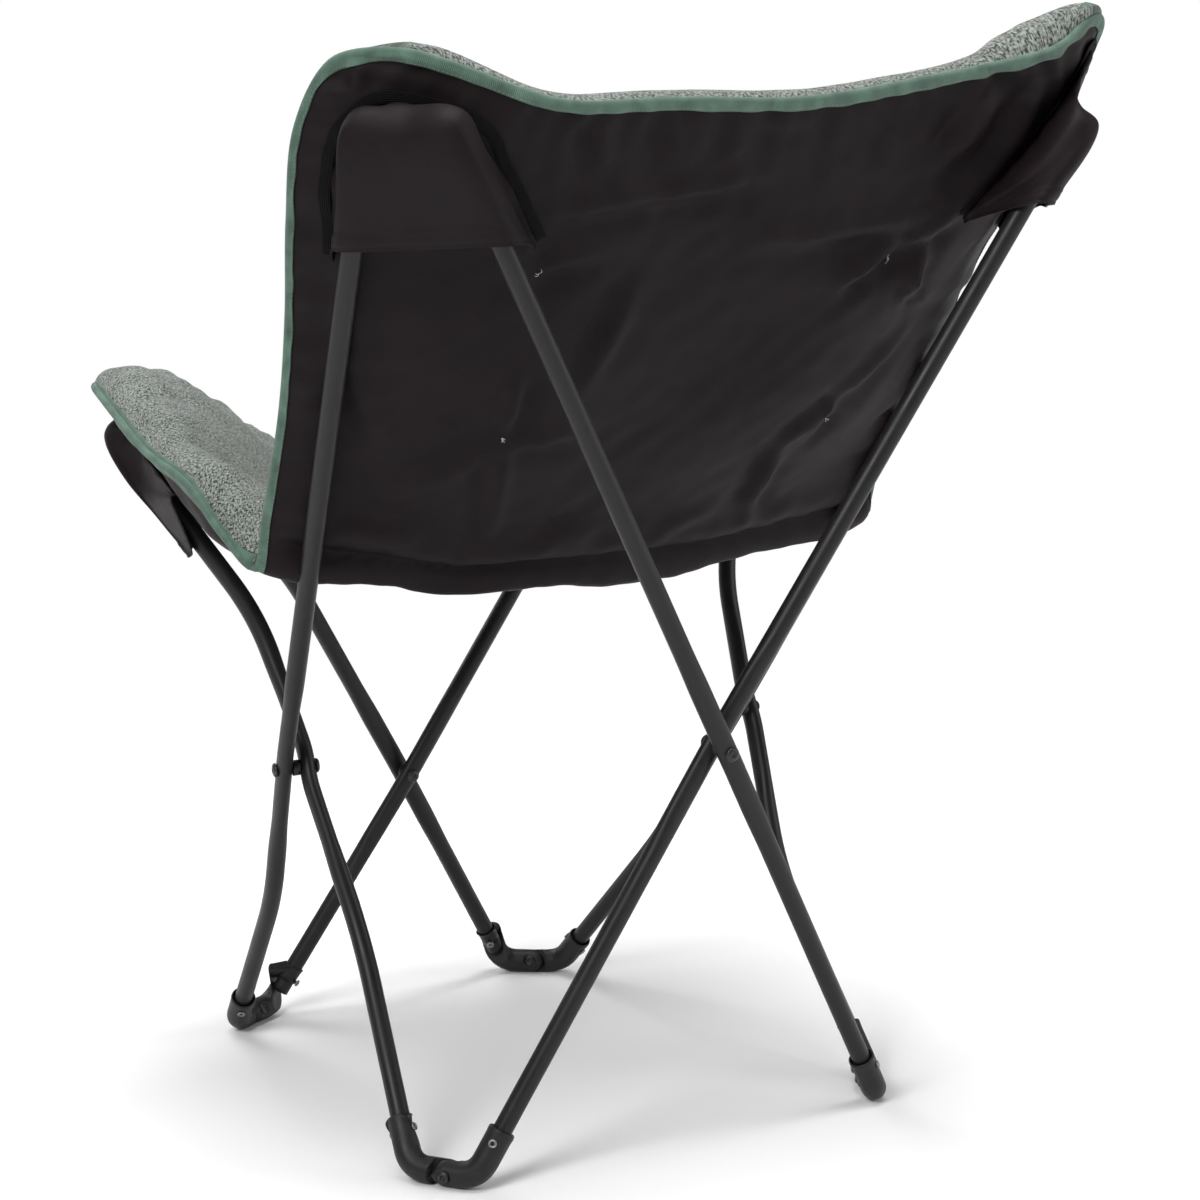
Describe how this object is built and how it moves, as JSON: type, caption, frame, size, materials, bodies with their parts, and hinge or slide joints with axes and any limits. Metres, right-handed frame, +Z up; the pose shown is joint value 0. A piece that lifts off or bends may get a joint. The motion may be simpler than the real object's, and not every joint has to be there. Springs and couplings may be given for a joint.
{
  "type": "folding butterfly chair",
  "caption": "Folding butterfly chair: crossed steel tube bars on hinged knuckle feet close together under a padded fabric sling pocketed over the back corners and arm tips.",
  "frame": {"origin": "on the floor under the middle of the chair's outer box", "axes": "+Z up; +Y towards the chair's back; +X towards the sitter's left"},
  "size_m": [0.7084, 0.663, 0.894],
  "materials": {
    "frame_steel": "satin",
    "knuckle_plastic": "matte",
    "rivet_steel": "satin",
    "seat_cloth": "matte",
    "back_cloth": "matte",
    "binding_tape": "matte",
    "webbing": "matte"
  },
  "bodies": {
    "sling": {"sling_pad": "seat_cloth", "sling_back_cover": "back_cloth", "sling_binding": "binding_tape", "back_left_pocket": "back_cloth", "back_right_pocket": "back_cloth", "arm_left_pocket": "back_cloth", "arm_right_pocket": "back_cloth", "back_left_pocket_border": "webbing", "back_right_pocket_border": "webbing", "back_pivot_bolt": "rivet_steel", "back_pivot_spacer": "knuckle_plastic"},
    "back_outer": {"back_outer_tube": "frame_steel", "back_outer_foot_knuckle": "knuckle_plastic", "back_outer_top_knuckle": "knuckle_plastic", "back_outer_socket_rivet": "rivet_steel", "back_right_foot_rivet": "rivet_steel", "back_left_top_rivet": "rivet_steel"},
    "back_inner": {"back_inner_tube": "frame_steel", "back_inner_foot_knuckle": "knuckle_plastic", "back_inner_top_knuckle": "knuckle_plastic", "back_inner_socket_rivet": "rivet_steel", "back_left_foot_rivet": "rivet_steel", "back_right_top_rivet": "rivet_steel"},
    "left_low": {"left_low_tube": "frame_steel", "left_low_foot_knuckle": "knuckle_plastic", "left_low_top_knuckle": "knuckle_plastic", "left_low_socket_rivet": "rivet_steel"},
    "left_high": {"left_high_tube": "frame_steel", "left_high_foot_knuckle": "knuckle_plastic", "left_high_top_knuckle": "knuckle_plastic", "left_high_socket_rivet": "rivet_steel", "front_left_foot_rivet": "rivet_steel", "left_pivot_bolt": "rivet_steel", "left_pivot_spacer": "knuckle_plastic"},
    "right_low": {"right_low_tube": "frame_steel", "right_low_foot_knuckle": "knuckle_plastic", "right_low_top_knuckle": "knuckle_plastic", "right_low_socket_rivet": "rivet_steel"},
    "right_high": {"right_high_tube": "frame_steel", "right_high_foot_knuckle": "knuckle_plastic", "right_high_top_knuckle": "knuckle_plastic", "right_high_socket_rivet": "rivet_steel", "front_right_foot_rivet": "rivet_steel", "right_pivot_bolt": "rivet_steel", "right_pivot_spacer": "knuckle_plastic"},
    "front_inner": {"front_inner_tube": "frame_steel", "front_inner_foot_knuckle": "knuckle_plastic", "front_inner_top_knuckle": "knuckle_plastic", "front_inner_socket_rivet": "rivet_steel", "front_pivot_bolt": "rivet_steel", "front_pivot_spacer": "knuckle_plastic", "arm_right_top_rivet": "rivet_steel"},
    "front_outer": {"front_outer_tube": "frame_steel", "front_outer_foot_knuckle": "knuckle_plastic", "front_outer_top_knuckle": "knuckle_plastic", "front_outer_socket_rivet": "rivet_steel", "front_pivot_rivet": "rivet_steel", "arm_left_top_rivet": "rivet_steel"}
  },
  "joints": [
    {"name": "fold", "type": "hinge", "parent": "sling", "child": "back_inner", "pos_m": [0, 0.23263, 0.343], "axis": [0, 0.9916, -0.1295], "range_deg": [0, 23], "deforming": ["sling_pad", "sling_back_cover", "sling_binding", "back_left_pocket", "back_right_pocket", "arm_left_pocket", "arm_right_pocket", "back_left_pocket_border", "back_right_pocket_border"]},
    {"name": "back_scissor", "type": "hinge", "parent": "sling", "child": "back_outer", "pos_m": [0, 0.23263, 0.343], "axis": [0, 0.9916, -0.1295], "range_deg": [-23.5, 0.5]},
    {"name": "back_left_foot_hinge", "type": "hinge", "parent": "back_inner", "child": "left_low", "pos_m": [0.211, 0.16163, 0.01038], "axis": [-0.7941, -0.6023, 0.0816], "range_deg": [-0.5, 35.17]},
    {"name": "left_scissor", "type": "hinge", "parent": "left_low", "child": "left_high", "pos_m": [0.229, -0.05737, 0.3], "axis": [0.9665, -0.251, -0.0529], "range_deg": [-0.5, 42.64]},
    {"name": "front_left_foot_hinge", "type": "hinge", "parent": "left_high", "child": "front_inner", "pos_m": [0.153, -0.30437, 0.01038], "axis": [-0.6802, 0.6791, 0.2761], "range_deg": [-0.5, 43.82]},
    {"name": "back_right_foot_hinge", "type": "hinge", "parent": "back_outer", "child": "right_low", "pos_m": [-0.211, 0.16163, 0.01038], "axis": [-0.7941, 0.6023, -0.0816], "range_deg": [-0.5, 35.17]},
    {"name": "right_scissor", "type": "hinge", "parent": "right_low", "child": "right_high", "pos_m": [-0.229, -0.05737, 0.3], "axis": [0.9665, 0.251, 0.0529], "range_deg": [-0.5, 42.64]},
    {"name": "front_right_foot_hinge", "type": "hinge", "parent": "right_high", "child": "front_outer", "pos_m": [-0.153, -0.30437, 0.01038], "axis": [-0.6802, -0.6791, -0.2761], "range_deg": [-0.5, 43.82]}
  ],
  "couplings": [
    {"joint": "back_scissor", "follows": "fold", "ratio": -1},
    {"joint": "back_left_foot_hinge", "follows": "fold", "ratio": 1.5074},
    {"joint": "left_scissor", "follows": "fold", "ratio": 1.8323},
    {"joint": "front_left_foot_hinge", "follows": "fold", "ratio": 1.8834},
    {"joint": "back_right_foot_hinge", "follows": "fold", "ratio": 1.5074},
    {"joint": "right_scissor", "follows": "fold", "ratio": 1.8323},
    {"joint": "front_right_foot_hinge", "follows": "fold", "ratio": 1.8834}
  ]
}
